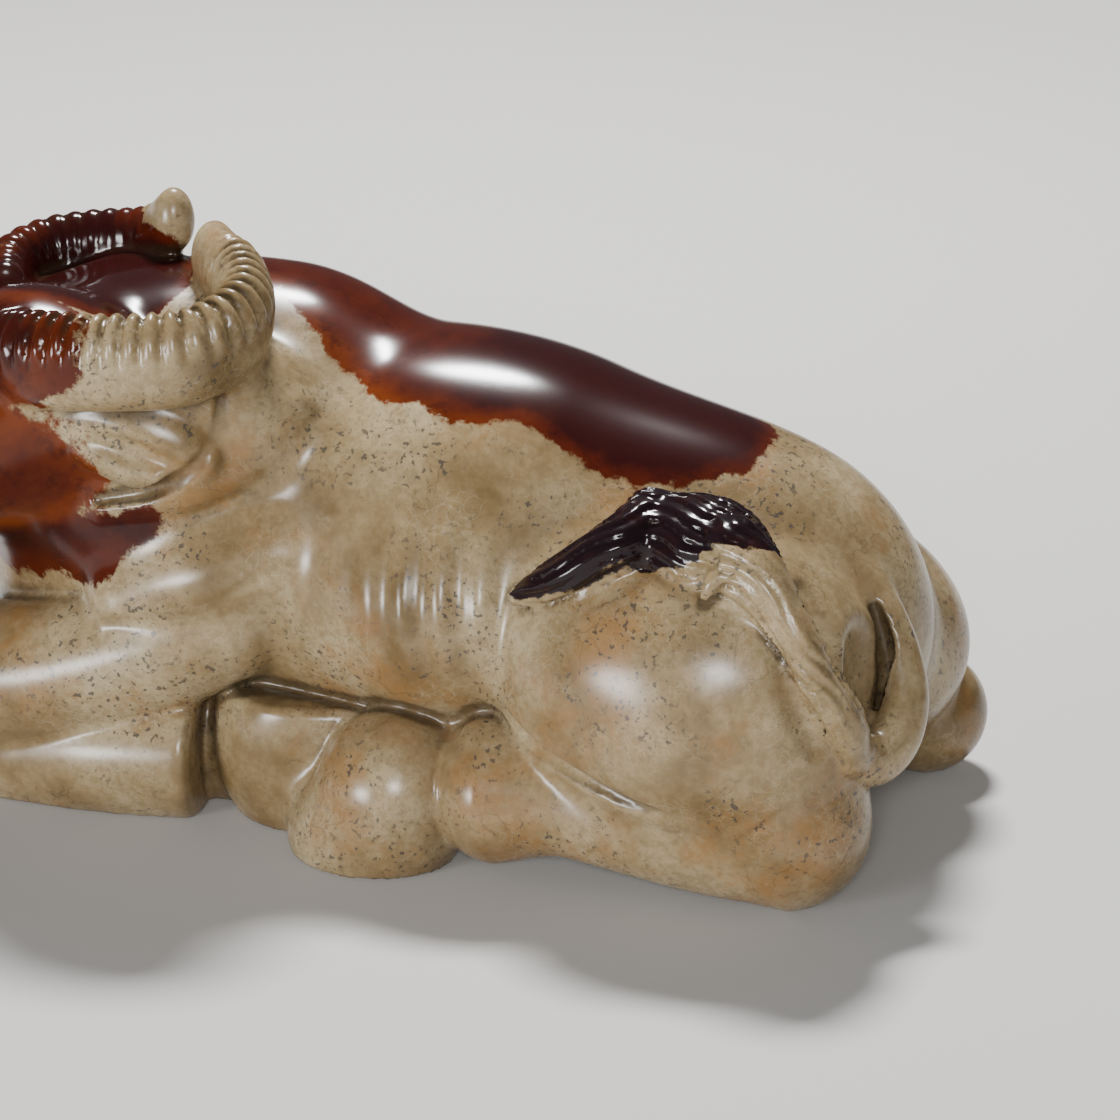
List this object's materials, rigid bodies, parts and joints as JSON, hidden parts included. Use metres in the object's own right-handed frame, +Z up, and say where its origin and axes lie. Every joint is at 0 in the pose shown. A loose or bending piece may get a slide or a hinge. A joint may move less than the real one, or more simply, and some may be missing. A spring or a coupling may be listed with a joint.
{
  "type": "carved stone water buffalo",
  "caption": "Polished stone carving of a water buffalo lying with folded legs, head turned to its left and horns curled in a ring over the neck.",
  "frame": {"origin": "on the flat underside, under the middle of the barrel", "axes": "+Z up, -X towards the muzzle, -Y towards the animal's left side, to which the head turns"},
  "size_m": [0.1199, 0.0622, 0.0588],
  "materials": {
    "jade": "polished olive-beige jade with russet skin"
  },
  "bodies": {
    "root": {"buffalo": "jade"}
  },
  "joints": []
}
